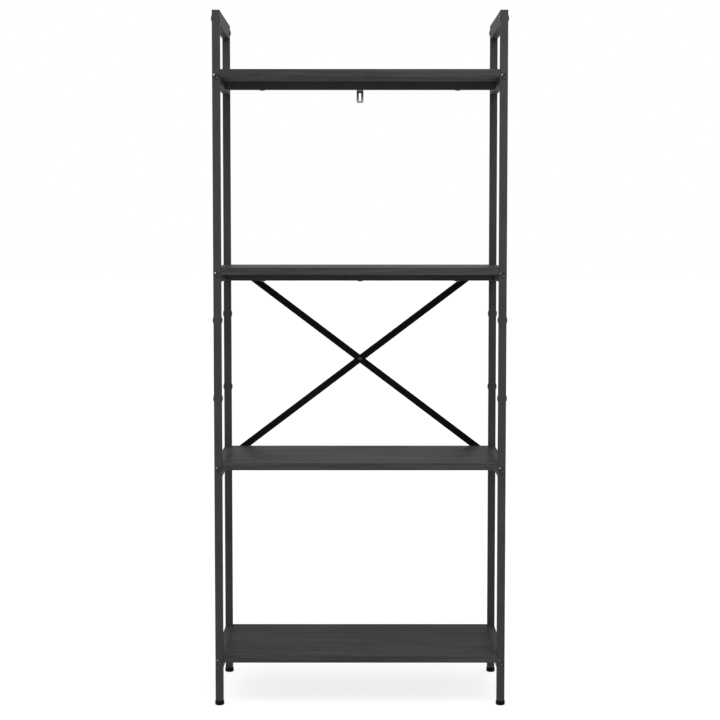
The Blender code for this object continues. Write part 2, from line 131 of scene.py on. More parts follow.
# Levelling feet; the hollow under a pad is given as (radius, height)
FOOT_RADIUS = 0.0095
FOOT_HEIGHT = 0.009
FOOT_TOP_EASING = 0.0008
FOOT_TOP_STEPS = 4
FOOT_BOTTOM_EASING = 0.002
FOOT_BOTTOM_STEPS = 6
FOOT_HOLLOW = [(0.0062, 0.0005), (0.0066, 0.0)]
STEM_RADIUS = 0.004
STEM_END_NARROWING = 0.0006
STEM_END_LENGTH = 0.0008
THREAD_PITCH = 0.00125
THREAD_DEPTH = 0.0006
THREAD_STEPS = 8

# Points round one turn, steps round one tube corner, the angle over which an edge stays
# sharp, and the distance under which two points of a curve's mesh are one
ROUND = 48
CORNER_STEPS = 6
SHARP_ANGLE = radians(38)
MERGE_DISTANCE = 0.000005

# Studio: each panel has a size, a power, a place and a point that it faces
FLOOR_HALF_SIZE = 30.0
FLOOR_CELLS = 8
FLOOR_DROP = 0.0002
FLOOR_GREY = (0.22, 0.22, 0.22, 1.0)
FLOOR_GLOW = 0.80
WHITE = (1.0, 1.0, 1.0, 1.0)
KEY_PANEL = (0.8, 31.0, (-2.4, -1.5, 4.0), (0.0, 0.0, 0.8))
FRONT_PANEL = (1.2, 25.0, (0.6, -1.5, 2.2), (0.0, 0.0, 1.3))
SPARKLE_PANEL = (2.4, 11000.0, (-11.0, -5.6, 11.2), (0.0, 0.0, 0.8))

# Camera
SENSOR_WIDTH = 36.0
LENS = 86.50
CAMERA_PLACE = (0.0, -3.679, 0.993)
CAMERA_TILT = radians(3.944)
CAMERA_SHIFT = -0.02
NEAREST = 0.05
FARTHEST = 200.0

# Names in the record.  Shelves, and the rails and beams that carry them, count from the top, and
# those up to LOWEST_ON_UPPER_POSTS are fixed to the posts' upper halves.
SIDES = ["left", "right"]
CORNERS = ["front_left", "front_right", "back_left", "back_right"]
SHELVES = range(1, 5)
LOWEST_ON_UPPER_POSTS = 2
FRAME_BODY = "frame"


# ---------------------------------------------------------------- places in the frame

def middle_of(node):
    low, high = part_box(node)
    return (low + high) / 2


def post_axis(corner):
    """x and y of a post's centre line, which the plug in its foot shares."""
    return middle_of("foot_insert_" + corner).xy


def facing(corner):
    """-1 for a front post and 1 for a back post."""
    return -1 if corner.startswith("front") else 1


# ---------------------------------------------------------------- material nodes

def new_finish(name, roughness=0.5, metallic=0.0, specular=0.5):
    """A Principled material; what is the same all over is set on the shader itself."""
    material = bpy.data.materials.new(name)
    material.use_nodes = True
    shader = material.node_tree.nodes["Principled BSDF"]
    shader.inputs["Roughness"].default_value = roughness
    shader.inputs["Metallic"].default_value = metallic
    shader.inputs["Specular IOR Level"].default_value = specular
    return material


def add_node(material, kind, inputs, **settings):
    """A node with its settings; each input is a number, a colour or another node's output."""
    tree = material.node_tree
    node = tree.nodes.new(kind)
    for key, value in settings.items():
        setattr(node, key, value)
    for key, value in inputs.items():
        if isinstance(value, bpy.types.NodeSocket):
            tree.links.new(value, node.inputs[key])
        else:
            node.inputs[key].default_value = value
    return node


def noise(material, frequency, detail=2.0, roughness=0.5, distortion=0.0):
    """Noise in object space; frequency is a number of features per metre along x, y and z."""
    place = add_node(material, "ShaderNodeTexCoord", {})
    scaled = add_node(
        material, "ShaderNodeMapping", {"Vector": place.outputs["Object"], "Scale": frequency})
    pattern = add_node(material, "ShaderNodeTexNoise", {
        "Vector": scaled.outputs["Vector"], "Scale": 1.0, "Detail": detail,
        "Roughness": roughness, "Distortion": distortion})
    return pattern.outputs["Fac"]


def cells(material, frequency):
    """Cell pattern in object space: the distance to the nearest point."""
    place = add_node(material, "ShaderNodeTexCoord", {})
    scaled = add_node(
        material, "ShaderNodeMapping", {"Vector": place.outputs["Object"], "Scale": frequency})
    pattern = add_node(
        material, "ShaderNodeTexVoronoi", {"Vector": scaled.outputs["Vector"], "Scale": 1.0})
    return pattern.outputs["Distance"]


def spread(material, value, low, high, start=0.3, end=0.7):
    """Map the middle of a pattern's range to low..high."""
    mapped = add_node(material, "ShaderNodeMapRange", {
        "Value": value, "From Min": start, "From Max": end, "To Min": low, "To Max": high})
    return mapped.outputs["Result"]


def add_up(material, first, second):
    return add_node(material, "ShaderNodeMath", {0: first, 1: second}, operation="ADD").outputs[0]


def tones(material, value, stops):
    """A colour ramp of (position, colour) stops."""
    ramp = add_node(material, "ShaderNodeValToRGB", {"Fac": value})
    elements = ramp.color_ramp.elements
    while len(elements) < len(stops):
        elements.new(0.5)
    for element, (position, colour) in zip(elements, stops):
        element.position = position
        element.color = (*colour, 1.0)
    return ramp.outputs["Color"]


def feed(material, colour, roughness, height, depth):
    """Lead the maps to the shader; depth is the relief's height in metres."""
    tree = material.node_tree
    shader = tree.nodes["Principled BSDF"]
    relief = add_node(material, "ShaderNodeBump", {"Height": height, "Distance": depth, "Strength": 1.0})
    tree.links.new(colour, shader.inputs["Base Color"])
    tree.links.new(roughness, shader.inputs["Roughness"])
    tree.links.new(relief.outputs["Normal"], shader.inputs["Normal"])
    return material


def every_way(value):
    """The same number three times: a frequency along x, y and z, or a grey."""
    return (value, value, value)


# ---------------------------------------------------------------- finishes

def powder_coat():
    """Anthracite powder coat: orange peel about 1 mm across with a fine sandy grain in it."""
    coat = new_finish("frame_paint", specular=0.04)
    drift = noise(coat, every_way(14.0), detail=3.0)
    grain = noise(coat, every_way(1900.0), detail=2.0)
    peel = noise(coat, every_way(700.0), detail=2.0, roughness=0.6)
    tone = add_up(coat, spread(coat, drift, 0.0, 0.6), spread(coat, grain, 0.0, 0.4))
    colour = tones(coat, tone, [(0.0, (0.0252, 0.0255, 0.0262)), (1.0, (0.0372, 0.0375, 0.0384))])
    roughness = spread(coat, peel, 0.46, 0.62)
    height = add_up(coat, spread(coat, peel, 0.0, 0.7), spread(coat, grain, 0.0, 0.3))
    return feed(coat, colour, roughness, height, 0.00005)


def charcoal_laminate(name, shade, specular):
    """Charcoal wood-grain laminate: long streaks along x, finer fibres, and short pressed pores.

    Even a weak gloss mirrors the white studio at a low angle, so the boards have next to none,
    and the backing, which is only seen at a low angle, has none.
    """
    board = new_finish(name, specular=specular)
    wander = noise(board, (2.2, 9.0, 9.0), detail=2.0)
    streaks = noise(board, (6.0, 80.0, 210.0), detail=4.0, roughness=0.55, distortion=0.35)
    fibres = noise(board, (34.0, 1100.0, 1100.0), detail=3.0, roughness=0.6, distortion=0.2)
    pores = noise(board, (95.0, 1700.0, 1700.0), detail=1.0)
    broad = add_up(board, spread(board, streaks, 0.0, 0.50), spread(board, wander, 0.0, 0.18))
    tone = add_up(board, broad, spread(board, fibres, 0.0, 0.32))
    stops = [(0.10, 0.0180), (0.50, 0.0300), (0.90, 0.0470)]
    colour = tones(board, tone, [(position, every_way(shade * grey)) for position, grey in stops])
    roughness = spread(board, fibres, 0.32, 0.44)
    height = add_up(board, spread(board, fibres, 0.0, 0.45), spread(board, pores, 0.0, 0.55, 0.32, 0.46))
    return feed(board, colour, roughness, height, 0.00006)


def brace_black():
    """Black satin paint on rolled flat bar, with faint rolling lines along x."""
    paint = new_finish("brace_paint", specular=0.05)
    rolled = noise(paint, (30.0, 900.0, 900.0), detail=3.0)
    drift = noise(paint, every_way(40.0), detail=3.0)
    tone = add_up(paint, spread(paint, rolled, 0.0, 0.5), spread(paint, drift, 0.0, 0.5))
    colour = tones(paint, tone, [(0.0, (0.0016, 0.0016, 0.0017)), (1.0, (0.0040, 0.0040, 0.0042))])
    return feed(paint, colour, spread(paint, drift, 0.38, 0.56), rolled, 0.00003)


def moulded_plastic():
    """Black plastic with the fine spark-eroded texture of its mould."""
    plastic = new_finish("black_plastic", specular=0.03)
    texture = noise(plastic, every_way(2600.0), detail=2.0)
    flow = noise(plastic, every_way(120.0), detail=3.0)
    colour = tones(plastic, flow, [(0.3, (0.0025, 0.0025, 0.0027)), (0.7, (0.0055, 0.0055, 0.0058))])
    return feed(plastic, colour, spread(plastic, flow, 0.48, 0.64), texture, 0.00004)


def blackened_steel():
    """Black-coated fastener steel, semi-gloss, a little rubbed."""
    steel = new_finish("black_steel", specular=0.42)
    rubbed = noise(steel, every_way(420.0), detail=4.0, roughness=0.6)
    pits = cells(steel, every_way(2200.0))
    colour = tones(steel, rubbed, [
        (0.30, (0.0010, 0.0010, 0.0011)), (0.62, (0.0026, 0.0026, 0.0028)),
        (0.80, (0.0110, 0.0110, 0.0114))])
    return feed(steel, colour, spread(steel, rubbed, 0.16, 0.30), pits, 0.00001)


def zinc_plating():
    """Smooth zinc plate with a soft spangle and fine lengthways drawing lines."""
    zinc = new_finish("zinc_plate", metallic=1.0)
    spangle = cells(zinc, every_way(420.0))
    brushed = noise(zinc, (1500.0, 1500.0, 60.0), detail=3.0)
    tone = add_up(zinc, spread(zinc, spangle, 0.0, 0.5, 0.1, 0.7), spread(zinc, brushed, 0.0, 0.5))
    colour = tones(zinc, tone, [(0.1, (0.36, 0.36, 0.37)), (0.9, (0.48, 0.48, 0.49))])
    return feed(zinc, colour, spread(zinc, brushed, 0.13, 0.20), brushed, 0.000002)


FINISHES = {
    "frame_paint": powder_coat(),
    "shelf_board": charcoal_laminate("shelf_board", FACE_SHADE, 0.003),
    # The backing gets a lighter copy of the laminate: painted light on the boards' undersides.
    "shelf_backing": charcoal_laminate("shelf_backing", BACKING_PAINTED_LIGHT, 0.0),
    "brace_paint": brace_black(),
    "black_plastic": moulded_plastic(),
    "black_steel": blackened_steel(),
    "zinc_plate": zinc_plating(),
}


# ---------------------------------------------------------------- outlines

def rounded_outline(half_a, half_b, corner):
    """A rounded rectangle, anticlockwise, as (a, b) points."""
    points = []
    for quarter, (to_a, to_b) in enumerate(((1, 1), (-1, 1), (-1, -1), (1, -1))):
        for n in range(CORNER_STEPS + 1):
            angle = (quarter + n / CORNER_STEPS) * pi / 2
            a = to_a * (half_a - corner) + corner * cos(angle)
            b = to_b * (half_b - corner) + corner * sin(angle)
            points.append((a, b))
    return points


def matching_circle(outline, radius):
    """A circle with a point in the direction of each point of an outline."""
    angles = [atan2(b, a) for a, b in outline]
    return [(radius * cos(angle), radius * sin(angle)) for angle in angles]


def turn_points(radius_at):
    """One turn of ROUND points whose radius is a function of their angle."""
    angles = [2 * pi * n / ROUND for n in range(ROUND)]
    return [(radius_at(angle) * cos(angle), radius_at(angle) * sin(angle)) for angle in angles]


def circle(radius):
    return turn_points(lambda angle: radius)


def hexagon(flat_to_centre):
    return turn_points(lambda angle: flat_to_centre / cos(angle % (pi / 3) - pi / 6))


def cross(arm, half_width):
    """A cross with four square-ended arms."""
    def radius_at(angle):
        off_arm = abs((angle + pi / 4) % (pi / 2) - pi / 4)
        if tan(off_arm) <= half_width / arm:
            return arm / cos(off_arm)
        return half_width / sin(off_arm)
    return turn_points(radius_at)


def shrunk(outline, share):
    return [(a * share, b * share) for a, b in outline]


def ring(outline, axis, level, centre=(0.0, 0.0)):
    """An outline set across an axis (0, 1 or 2) at a level; centre is in the outline's own a and b."""
    points = []
    for a, b in outline:
        point = [0.0, 0.0, 0.0]
        point[axis] = level
        point[(axis + 1) % 3] = centre[0] + a
        point[(axis + 2) % 3] = centre[1] + b
        points.append(Vector(point))
    return points


# ---------------------------------------------------------------- pieces

def finish_piece(name, mesh, finish, body, stands_for):
    """Turn a bmesh into a shaded piece that rides on its body."""
    bmesh.ops.recalc_face_normals(mesh, faces=mesh.faces)
    data = bpy.data.meshes.new(name)
    mesh.to_mesh(data)
    mesh.free()
    data.shade_smooth()
    data.set_sharp_from_angle(angle=SHARP_ANGLE)
    data.materials.append(FINISHES[finish])
    piece = bpy.data.objects.new(name, data)
    bpy.context.scene.collection.objects.link(piece)
    shading = piece.modifiers.new("flat_faces_lead", "WEIGHTED_NORMAL")
    shading.keep_sharp = True
    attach(piece, body)
    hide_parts(*stands_for)
    return piece


def loft(name, rings, finish, body, stands_for, closed=False, place=None):
    """A closed skin through rings of equally many points, capped at its ends or closed on itself."""
    mesh = bmesh.new()
    rows = [[mesh.verts.new(place @ point if place else point) for point in row] for row in rings]
    pairs = list(zip(rows, rows[1:]))
    if closed:
        pairs.append((rows[-1], rows[0]))
    else:
        mesh.faces.new(rows[0])
        mesh.faces.new(rows[-1])
    for first, second in pairs:
        for n in range(len(first)):
            m = (n + 1) % len(first)
            mesh.faces.new((first[n], first[m], second[m], second[n]))
    return finish_piece(name, mesh, finish, body, stands_for)


def eased_end(half_a, half_b, corner, easing, axis, level, inward, centre, steps=4):
    """Rings that round a bar's end over, from the flat of its end out to its full section."""
    rings = []
    for n in range(steps + 1):
        angle = pi / 2 * n / steps
        inset = easing * (1 - sin(angle))
        depth = easing * (1 - cos(angle))
        section = rounded_outline(half_a - inset, half_b - inset, max(corner - inset, easing / 10))
        rings.append(ring(section, axis, level + inward * depth, centre))
    return rings


def bar(name, half_a, half_b, corner, easing, axis, span, centre, finish, stands_for):
    """A solid bar along an axis with rounded long edges and eased ends."""
    start = eased_end(half_a, half_b, corner, easing, axis, span[0], 1, centre)
    end = eased_end(half_a, half_b, corner, easing, axis, span[1], -1, centre)
    return loft(name, start + end[::-1], finish, FRAME_BODY, stands_for)


def open_tube(name, half, axis, span, centre, finish, stands_for, end_lip=LIP):
    """A square tube that is open at both ends, with its cut lips just broken."""
    outer_start = eased_end(half, half, TUBE_CORNER, LIP, axis, span[0], 1, centre, 2)
    outer_end = eased_end(half, half, TUBE_CORNER, end_lip, axis, span[1], -1, centre, 2)
    bore = rounded_outline(half - TUBE_WALL, half - TUBE_WALL, BORE_CORNER)
    rings = outer_start + outer_end[::-1]
    rings += [ring(bore, axis, span[1], centre), ring(bore, axis, span[0], centre)]
    return loft(name, rings, finish, FRAME_BODY, stands_for, closed=True)


def dome(radius, base, rise, mouth):
    """(radius, height) points of a low dome, from a head's rim up to the mouth of its recess."""
    last = acos(mouth / radius)
    angles = [last * n / DOME_STEPS for n in range(DOME_STEPS + 1)]
    return [(radius * cos(angle), base + rise * sin(angle)) for angle in angles]


def headed_pin(name, head_radius, head_height, shank_radius, length, recess, depth, place,
               finish, stands_for):
    """A domed head with a recess, its underside at z = 0, on a shank that runs down to -length."""
    chamfer = shank_radius * SHANK_CHAMFER_SHARE
    rings = [
        ring(circle(shank_radius - chamfer), 2, -length),
        ring(circle(shank_radius), 2, -length + chamfer),
        ring(circle(shank_radius), 2, 0.0),
        ring(circle(head_radius - HEAD_RIM / 2), 2, 0.0),
        ring(circle(head_radius), 2, HEAD_RIM / 2),
    ]
    mouth = RECESS_MOUTH_SHARE * max(hypot(a, b) for a, b in recess)
    profile = dome(head_radius, HEAD_RIM, head_height - HEAD_RIM, mouth)
    rings += [ring(circle(radius), 2, height) for radius, height in profile]
    crown = profile[-1][1]
    rings.append(ring(recess, 2, crown - RECESS_CHAMFER))
    rings.append(ring(shrunk(recess, RECESS_FLOOR_SHARE), 2, crown - depth))
    return loft(name, rings, finish, FRAME_BODY, stands_for, place=place)


def towards(spot, direction):
    """A place whose z runs along a direction."""
    turn = Vector(direction).to_track_quat("Z", "Y").to_matrix().to_4x4()
    return Matrix.Translation(spot) @ turn


# ---------------------------------------------------------------- posts, rails and bolts

def post_half(corner, level):
    """Half a post: a square tube, open below, and closed by a thin softened cap at the very top.

    The upper half is drawn down on to the lower one, so that the seam closes.
    """
    node = "post_{}_{}".format(corner, level)
    low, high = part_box(node)
    centre = tuple(post_axis(corner))
    half = POST_SIDE / 2
    if level == "lower":
        open_tube(node + "_tube", half, 2, (low.z, high.z), centre, "frame_paint", [node], SEAM_LIP)
        return
    seam = low.z - CLAMPED
    bore = rounded_outline(half - TUBE_WALL, half - TUBE_WALL, BORE_CORNER)
    rings = [ring(bore, 2, high.z - TUBE_WALL, centre), ring(bore, 2, seam, centre)]
    rings += eased_end(half, half, TUBE_CORNER, SEAM_LIP, 2, seam, 1, centre, 2)
    rings += eased_end(half, half, TUBE_CORNER, TOP_EASING, 2, high.z, -1, centre)[::-1]
    loft(node + "_tube", rings, "frame_paint", FRAME_BODY, [node])


def rail_bolts(corner):
    """The bolts through a post's outer face into the four rails."""
    x, y = post_axis(corner)
    outward = facing(corner)
    side = corner.split("_")[1]
    for number in SHELVES:
        height = middle_of("side_rail_{}_{}".format(side, number)).z
        level = "upper" if number <= LOWEST_ON_UPPER_POSTS else "lower"
        spot = (x, y + outward * POST_SIDE / 2, height)
        headed_pin(
            "rail_bolt_{}_{}".format(corner, number), BOLT_HEAD_RADIUS, BOLT_HEAD_HEIGHT,
            BOLT_SHANK_RADIUS, POST_SIDE + BOLT_REACH, hexagon(HEX_FLAT_TO_CENTRE),
            RAIL_BOLT_RECESS, towards(spot, (0, outward, 0)), "black_steel",
            ["post_{}_{}".format(corner, level)])


def through_bolt(node):
    """A bolt across a post: a socket head on each side, on one shank."""
    low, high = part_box(node)
    spot = (low + high) / 2
    half = POST_SIDE / 2 + GAP
    for label, direction in (("left", -1), ("right", 1)):
        headed_pin(
            "{}_{}_end".format(node, label), BOLT_HEAD_RADIUS, BOLT_HEAD_HEIGHT - GAP,
            BOLT_SHANK_RADIUS, half - GAP / 2, hexagon(HEX_FLAT_TO_CENTRE), THROUGH_BOLT_RECESS,
            towards(spot + Vector((direction * half, 0, 0)), (direction, 0, 0)),
            "black_steel", [node])


def side_rails():
    for side in SIDES:
        for number in SHELVES:
            node = "side_rail_{}_{}".format(side, number)
            low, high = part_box(node)
            middle = (low + high) / 2
            bar(node + "_tube", RAIL_HALF_HEIGHT, POST_SIDE / 2, TUBE_CORNER, LIP, 1,
                (low.y, high.y), (middle.z, middle.x), "frame_paint", [node])


def top_rails():
    """The handle-like rails, with the tongues that run on into the posts."""
    for side in SIDES:
        node = "top_rail_" + side
        low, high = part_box(node)
        middle = (low + high) / 2
        front, back = (post_axis(end + "_" + side).y for end in ("front", "back"))
        shoulder = (front + POST_SIDE / 2 + GAP, back - POST_SIDE / 2 - GAP)
        centre = (middle.z, middle.x)
        tongue = rounded_outline(TONGUE_HEIGHT / 2, TONGUE_SIDE / 2, BORE_CORNER)
        section = (RAIL_HALF_HEIGHT, POST_SIDE / 2, TUBE_CORNER, LIP, 1)
        rings = [ring(tongue, 1, low.y, centre), ring(tongue, 1, shoulder[0], centre)]
        rings += eased_end(*section, shoulder[0], 1, centre)
        rings += eased_end(*section, shoulder[1], -1, centre)[::-1]
        rings += [ring(tongue, 1, shoulder[1], centre), ring(tongue, 1, high.y, centre)]
        loft(node + "_tube", rings, "frame_paint", FRAME_BODY, [node])


# ---------------------------------------------------------------- shelves and beams

def shelf(number):
    """A laminated board on a matt backing sheet, between two thin edge bands."""
    node = "shelf_{}".format(number)
    low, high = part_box(node)
    middle = (low + high) / 2
    core_half = (high.y - low.y) / 2 - BAND_THICKNESS - BAND_JOINT
    core_low = low.z + BACKING_THICKNESS
    bar(node + "_board", core_half, (high.z - core_low) / 2, BOARD_EASING, BOARD_EASING, 0,
        (low.x, high.x), (middle.y, (high.z + core_low) / 2), "shelf_board", [node])
    # The backing sheet carries the laminate's lighter copy: painted light on the board's underside.
    bar(node + "_backing", core_half, BACKING_THICKNESS / 2, BACKING_EASING, BACKING_EASING, 0,
        (low.x, high.x), (middle.y, (low.z + core_low) / 2), "shelf_backing", [node])
    half_band = BAND_THICKNESS / 2
    outline = rounded_outline(half_band, (high.z - low.z) / 2, BOARD_EASING)
    for label, y, inward in (("front", low.y, 1), ("back", high.y, -1)):
        centre = (y + inward * half_band, middle.z)
        rings = [ring(outline, 0, low.x, centre), ring(outline, 0, high.x, centre)]
        loft("{}_edge_{}".format(node, label), rings, "shelf_board", FRAME_BODY, [node])


def beam(number):
    """The square tube clamped under a shelf, and the three screws that come up through it."""
    node = "shelf_beam_{}".format(number)
    low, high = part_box(node)
    top = high.z - BEAM_SCREW_REACH + CLAMPED
    centre = ((low.y + high.y) / 2, top - POST_SIDE / 2)
    open_tube(node + "_tube", POST_SIDE / 2, 0, (low.x, high.x), centre, "frame_paint", [node])
    for label, step in (("left", -1), ("middle", 0), ("right", 1)):
        spot = (step * BEAM_SCREW_SPACING, centre[0], top - POST_SIDE)
        headed_pin(
            "{}_screw_{}".format(node, label), BEAM_SCREW_HEAD_RADIUS, BEAM_SCREW_HEAD_HEIGHT,
            BEAM_SCREW_SHANK_RADIUS, POST_SIDE + BEAM_SCREW_REACH,
            cross(CROSS_ARM, CROSS_HALF_WIDTH), CROSS_RECESS, towards(spot, (0, 0, -1)),
            "black_steel", [node])


# ---------------------------------------------------------------- cross brace

def step_behind(distance, step):
    """How far the rear bar has bent backwards, at a distance from the crossing."""
    if distance >= BRACE_STEP_START:
        return 0.0
    if distance <= BRACE_STEP_END:
        return step
    share = (BRACE_STEP_START - distance) / (BRACE_STEP_START - BRACE_STEP_END)
    return step * share * share * (3 - 2 * share)


def brace_stations(half_length):
    """Places along a bar: close together round its ends and over the bend at its middle."""
    radius = BRACE_WIDTH / 2
    end = [half_length + radius * sin(pi / 2 * n / BRACE_END_STEPS) for n in range(BRACE_END_STEPS)]
    bend = [BRACE_STEP_END + (BRACE_STEP_START - BRACE_STEP_END) * n / BRACE_BEND_STEPS
            for n in range(BRACE_BEND_STEPS + 1)]
    positive = bend + end
    return [-x for x in reversed(positive)] + positive


def brace_bar(slant, start_screw, end_screw, steps_back):
    """A flat bar between two screws, with round ends and softened edges."""
    node = "brace_bar_" + slant
    start, end = middle_of(start_screw), middle_of(end_screw)
    run = end - start
    half_length = hypot(run.x, run.z) / 2
    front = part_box("brace_bar_falling")[0].y
    centre = (start + end) / 2
    place = Matrix.Translation((centre.x, front + BRACE_THICKNESS / 2, centre.z))
    place = place @ Matrix.Rotation(-atan2(run.z, run.x), 4, "Y")
    step = (BRACE_THICKNESS + GAP) if steps_back else 0.0
    radius = BRACE_WIDTH / 2
    rings = []
    for x in brace_stations(half_length):
        past = max(0.0, abs(x) - half_length)
        half_width = sqrt(max(radius * radius - past * past, 0.0))
        easing = min(BRACE_EASING, half_width * BRACE_END_EASING_SHARE)
        section = rounded_outline(BRACE_THICKNESS / 2, half_width, easing)
        rings.append(ring(section, 0, x, (step_behind(abs(x), step), 0.0)))
    loft(node + "_flat", rings, "brace_paint", FRAME_BODY, [node], place=place)


def brace():
    """Both bars and the screws at their ends."""
    brace_bar("falling", "brace_screw_upper_left", "brace_screw_lower_right", False)
    brace_bar("rising", "brace_screw_lower_left", "brace_screw_upper_right", True)
    for level in ("upper", "lower"):
        for side in SIDES:
            node = "brace_screw_{}_{}".format(level, side)
            middle = middle_of(node)
            head_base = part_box(node)[1].y - EDGE_SCREW_HEAD_HEIGHT
            headed_pin(
                node + "_head", EDGE_SCREW_HEAD_RADIUS, EDGE_SCREW_HEAD_HEIGHT,
                EDGE_SCREW_SHANK_RADIUS, EDGE_SCREW_REACH + BRACE_THICKNESS,
                cross(CROSS_ARM, CROSS_HALF_WIDTH), CROSS_RECESS,
                towards((middle.x, head_base, middle.z), (0, 1, 0)), "black_steel", [node])


def rivet():
    """A rivet with a low dome on each side of the crossing."""
    low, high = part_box("brace_rivet")
    middle = (low + high) / 2
    inner = (high.y - low.y) / 2 - RIVET_HEAD_HEIGHT
    profile = []
    for n in range(1, RIVET_STEPS + 1):
        angle = pi / 2 * n / RIVET_STEPS
        profile.append((RIVET_HEAD_RADIUS * sin(angle), inner + RIVET_HEAD_HEIGHT * cos(angle)))
    profile.append((RIVET_RADIUS, inner))
    profile += [(radius, -height) for radius, height in reversed(profile)]
    rings = [ring(circle(radius), 2, height) for radius, height in profile]
    loft("brace_rivet_domes", rings, "black_steel", FRAME_BODY, ["brace_rivet"],
         place=towards(middle, (0, 1, 0)))


# ---------------------------------------------------------------- wall bracket

def closed_spline(curve, outline):
    spline = curve.splines.new("POLY")
    spline.points.add(len(outline) - 1)
    for point, (a, b) in zip(spline.points, outline):
        point.co = (a, b, 0.0, 1.0)
    spline.use_cyclic_u = True


def taper_screw_hole(mesh, screw, front, back):
    """Draw a straight hole in to a countersink that narrows from the back to the front."""
    reach = EDGE_SCREW_HEAD_RADIUS + GAP + 2 * BRACKET_EASING
    for vertex in mesh.verts:
        across = Vector((vertex.co.x - screw.x, 0.0, vertex.co.z - screw.z))
        if across.length < reach:
            share = (back - vertex.co.y) / (back - front)
            narrowing = (EDGE_SCREW_HEAD_RADIUS - EDGE_SCREW_SHANK_RADIUS) * share
            vertex.co -= across.normalized() * narrowing


def wall_bracket():
    """A slotted plate whose cut edges are softened, with a countersunk hole for its flush screw."""
    low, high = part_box("wall_bracket")
    middle = (low + high) / 2
    screw_height = middle_of("wall_bracket_screw").z - middle.z
    curve = bpy.data.curves.new("wall_bracket_outline", "CURVE")
    curve.dimensions = "2D"
    curve.fill_mode = "BOTH"
    curve.extrude = (high.y - low.y) / 2 - BRACKET_EASING
    curve.bevel_depth = BRACKET_EASING
    curve.bevel_resolution = 2
    curve.offset = -BRACKET_EASING
    closed_spline(curve, rounded_outline((high.x - low.x) / 2, (high.z - low.z) / 2, BRACKET_CORNER))
    slot_half = [span / 2 for span in BRACKET_SLOT_SPAN]
    slot = rounded_outline(slot_half[0], slot_half[1], slot_half[0] * SLOT_END_SHARE)
    closed_spline(curve, [(a, b + BRACKET_SLOT_HEIGHT - middle.z) for a, b in slot])
    hole = circle(EDGE_SCREW_HEAD_RADIUS + GAP)
    closed_spline(curve, [(a, b + screw_height) for a, b in hole])
    source = bpy.data.objects.new("wall_bracket_source", curve)
    bpy.context.scene.collection.objects.link(source)
    bpy.context.view_layer.update()
    flat = bpy.data.meshes.new_from_object(source.evaluated_get(bpy.context.evaluated_depsgraph_get()))
    bpy.data.objects.remove(source, do_unlink=True)
    mesh = bmesh.new()
    mesh.from_mesh(flat)
    bpy.data.meshes.remove(flat)
    bmesh.ops.remove_doubles(mesh, verts=mesh.verts, dist=MERGE_DISTANCE)
    stand = Matrix.Translation(middle) @ Matrix.Rotation(pi / 2, 4, "X")
    bmesh.ops.transform(mesh, matrix=stand, verts=mesh.verts)
    taper_screw_hole(mesh, middle_of("wall_bracket_screw"), low.y, high.y)
    finish_piece("wall_bracket_plate", mesh, "zinc_plate", FRAME_BODY, ["wall_bracket"])


def bracket_screw():
    """The bracket's screw: a flat head that narrows through the plate, with a cross recess."""
    low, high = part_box("wall_bracket_screw")
    middle = (low + high) / 2
    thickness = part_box("wall_bracket")[1].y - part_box("wall_bracket")[0].y
    recess = cross(CROSS_ARM, CROSS_HALF_WIDTH)
    point = -thickness - EDGE_SCREW_REACH
    rings = [
        ring(circle(EDGE_SCREW_SHANK_RADIUS * SCREW_POINT_SHARE), 2, point),
        ring(circle(EDGE_SCREW_SHANK_RADIUS), 2, point + SCREW_POINT_LENGTH),
        ring(circle(EDGE_SCREW_SHANK_RADIUS), 2, -thickness),
        ring(circle(EDGE_SCREW_HEAD_RADIUS), 2, -FLUSH_HEAD_EDGE),
        ring(circle(EDGE_SCREW_HEAD_RADIUS - FLUSH_HEAD_EASING), 2, 0.0),
        ring(circle(CROSS_ARM * FLUSH_RECESS_REACH_SHARE), 2, 0.0),
        ring(recess, 2, 0.0),
        ring(shrunk(recess, FLUSH_RECESS_FLOOR_SHARE), 2, -CROSS_RECESS),
    ]
    loft("wall_bracket_screw_flush", rings, "black_steel", FRAME_BODY, ["wall_bracket_screw"],
         place=towards((middle.x, high.y, middle.z), (0, 1, 0)))


# ---------------------------------------------------------------- levelling feet

def foot_pad(corner):
    """The round pad: a softened top edge, a rounder bottom edge and a shallow hollow underneath."""
    x, y = post_axis(corner)
    top, bottom = FOOT_TOP_EASING, FOOT_BOTTOM_EASING
    profile = list(FOOT_HOLLOW)
    for n in range(FOOT_BOTTOM_STEPS + 1):
        angle = -pi / 2 + pi / 2 * n / FOOT_BOTTOM_STEPS
        profile.append((FOOT_RADIUS - bottom + bottom * cos(angle), bottom + bottom * sin(angle)))
    for n in range(FOOT_TOP_STEPS + 1):
        angle = pi / 2 * n / FOOT_TOP_STEPS
        profile.append((FOOT_RADIUS - top + top * cos(angle), FOOT_HEIGHT - top + top * sin(angle)))
    rings = [ring(circle(radius), 2, height, (x, y)) for radius, height in profile]
    loft("foot_pad_" + corner, rings, "black_plastic", "levelling_foot_" + corner, ["foot_" + corner])


def foot_stem(corner):
    """The stem, with a helical thread worked into its side."""
    x, y = post_axis(corner)
    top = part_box("foot_" + corner)[1].z
    count = int((top - FOOT_HEIGHT) / THREAD_PITCH * THREAD_STEPS)
    rings = []
    for n in range(count + 1):
        height = FOOT_HEIGHT - GAP + (top - FOOT_HEIGHT + GAP) * n / count
        taper = STEM_END_NARROWING * max(0.0, 1 - (top - height) / STEM_END_LENGTH)
        outline = []
        for m in range(ROUND):
            angle = 2 * pi * m / ROUND
            phase = (height / THREAD_PITCH - angle / (2 * pi)) % 1.0
            radius = STEM_RADIUS - THREAD_DEPTH * abs(2 * phase - 1) - taper
            outline.append((radius * cos(angle), radius * sin(angle)))
        rings.append(ring(outline, 2, height, (x, y)))
    loft("foot_stem_" + corner, rings, "black_plastic", "levelling_foot_" + corner, ["foot_" + corner])


